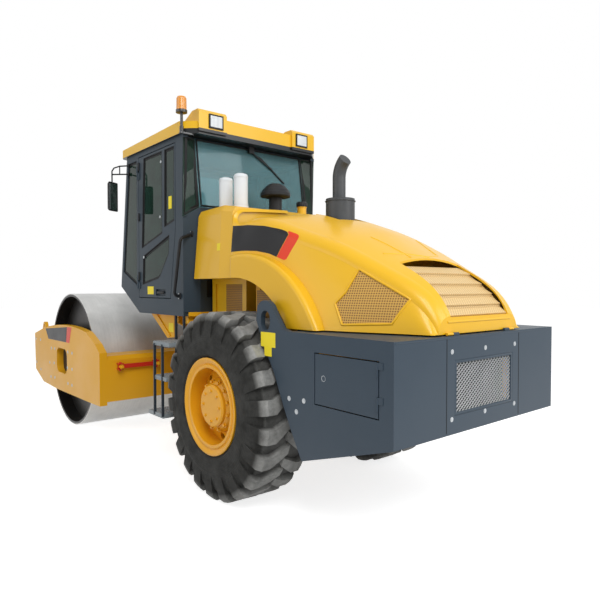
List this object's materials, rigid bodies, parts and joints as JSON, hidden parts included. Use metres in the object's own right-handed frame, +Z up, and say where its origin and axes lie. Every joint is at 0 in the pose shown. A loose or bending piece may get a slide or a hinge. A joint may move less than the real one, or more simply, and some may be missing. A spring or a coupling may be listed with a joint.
{
  "type": "road roller",
  "caption": "Articulated single-drum soil compactor with a smooth steel drum ahead, a closed cab and two driven tyres behind.",
  "frame": {"origin": "on the ground below the middle of the machine's length and width", "axes": "+X forward, towards the drum; +Y to the left; +Z up"},
  "size_m": [6.27, 2.33, 3.423],
  "materials": {
    "yellow_paint": "gloss",
    "slate_paint": "satin",
    "black_paint": "satin",
    "drum_steel": "satin",
    "tyre": "matte",
    "glass": "gloss",
    "chrome": "polished",
    "cast_iron": "matte",
    "black_plastic": "matte",
    "white_paint": "gloss",
    "amber_plastic": "gloss",
    "seat_fabric": "matte",
    "red_paint": "gloss",
    "aluminium": "satin"
  },
  "bodies": {
    "rear_unit": {"rear_frame": "yellow_paint", "rear_axle": "cast_iron", "counterweight": "slate_paint", "rear_grille": "black_paint", "engine_block": "cast_iron", "radiator": "aluminium", "tank_shell": "yellow_paint", "filter_canisters": "white_paint", "air_precleaner": "black_plastic", "exhaust_stack": "black_paint", "cab_base": "yellow_paint", "cab_frame": "slate_paint", "cab_glass": "glass", "cab_roof": "yellow_paint", "work_lamps": "black_plastic", "beacon": "amber_plastic", "mirrors": "black_plastic", "operator_seat": "seat_fabric", "steering_column": "black_plastic", "control_console": "black_plastic", "grab_handles": "black_paint", "access_steps": "slate_paint", "rear_wiper": "black_plastic"},
    "wheel_left_body": {"tyre_left": "tyre", "rim_left": "yellow_paint"},
    "wheel_right_body": {"tyre_right": "tyre", "rim_right": "yellow_paint"},
    "centre_link_body": {"centre_link": "cast_iron"},
    "front_unit": {"front_frame": "yellow_paint", "drum_mounts": "black_paint", "scrapers": "black_paint", "lock_bar": "red_paint"},
    "drum_body": {"drum": "drum_steel"},
    "barrel_left_body": {"steer_barrel_left": "black_paint"},
    "barrel_right_body": {"steer_barrel_right": "black_paint"},
    "rod_left_body": {"steer_rod_left": "chrome"},
    "rod_right_body": {"steer_rod_right": "chrome"},
    "door_left_body": {"door_left": "slate_paint", "door_glass_left": "glass"},
    "door_right_body": {"door_right": "slate_paint", "door_glass_right": "glass"},
    "hood_body": {"hood": "yellow_paint", "hood_grilles": "yellow_paint"},
    "tool_door_left_body": {"tool_door_left": "slate_paint"},
    "tool_door_right_body": {"tool_door_right": "slate_paint"}
  },
  "joints": [
    {"name": "wheel_left_spin", "type": "hinge", "parent": "rear_unit", "child": "wheel_left_body", "pos_m": [-1.345, 0.7995, 0.745], "axis": [0, 1, 0], "continuous": true},
    {"name": "wheel_right_spin", "type": "hinge", "parent": "rear_unit", "child": "wheel_right_body", "pos_m": [-1.345, -0.7995, 0.745], "axis": [0, 1, 0], "continuous": true},
    {"name": "steer", "type": "hinge", "parent": "rear_unit", "child": "centre_link_body", "pos_m": [0.105, 0, 0.75], "axis": [0, 0, 1], "range_deg": [-33, 33]},
    {"name": "oscillate", "type": "hinge", "parent": "centre_link_body", "child": "front_unit", "pos_m": [0.605, 0, 0.75], "axis": [1, 0, 0], "range_deg": [-10, 10]},
    {"name": "drum_roll", "type": "hinge", "parent": "front_unit", "child": "drum_body", "pos_m": [1.865, 0, 0.8], "axis": [0, 1, 0], "continuous": true},
    {"name": "barrel_left_swing", "type": "hinge", "parent": "rear_unit", "child": "barrel_left_body", "pos_m": [-0.695, 0.27, 0.62], "axis": [0, 0, 1], "range_deg": [-2.2, 2.2]},
    {"name": "rod_left_slide", "type": "slide", "parent": "barrel_left_body", "child": "rod_left_body", "axis": [0.9994, 0.0349, 0], "range_m": [-0.172, 0.172]},
    {"name": "door_left_swing", "type": "hinge", "parent": "rear_unit", "child": "door_left_body", "pos_m": [0.477, 0.81, 2.3], "axis": [0, 0, -1], "range_deg": [0, 90]},
    {"name": "tool_door_left_swing", "type": "hinge", "parent": "rear_unit", "child": "tool_door_left_body", "pos_m": [-3.016, 0.917, 1.1], "axis": [0, 0, 1], "range_deg": [0, 95]},
    {"name": "barrel_right_swing", "type": "hinge", "parent": "rear_unit", "child": "barrel_right_body", "pos_m": [-0.695, -0.27, 0.62], "axis": [0, 0, 1], "range_deg": [-2.2, 2.2]},
    {"name": "rod_right_slide", "type": "slide", "parent": "barrel_right_body", "child": "rod_right_body", "axis": [0.9994, -0.0349, 0], "range_m": [-0.172, 0.172]},
    {"name": "door_right_swing", "type": "hinge", "parent": "rear_unit", "child": "door_right_body", "pos_m": [0.477, -0.81, 2.3], "axis": [0, 0, 1], "range_deg": [0, 90]},
    {"name": "tool_door_right_swing", "type": "hinge", "parent": "rear_unit", "child": "tool_door_right_body", "pos_m": [-3.016, -0.917, 1.1], "axis": [0, 0, -1], "range_deg": [0, 95]},
    {"name": "hood_lift", "type": "hinge", "parent": "rear_unit", "child": "hood_body", "pos_m": [-3.109, 0, 1.396], "axis": [0, -1, 0], "range_deg": [0, 40]}
  ],
  "couplings": [
    {"joint": "barrel_left_swing", "follows": "steer", "ratio": 0.0617},
    {"joint": "rod_left_slide", "follows": "steer", "m_per_rad": -0.29},
    {"joint": "barrel_right_swing", "follows": "steer", "ratio": 0.0617},
    {"joint": "rod_right_slide", "follows": "steer", "m_per_rad": 0.29}
  ]
}
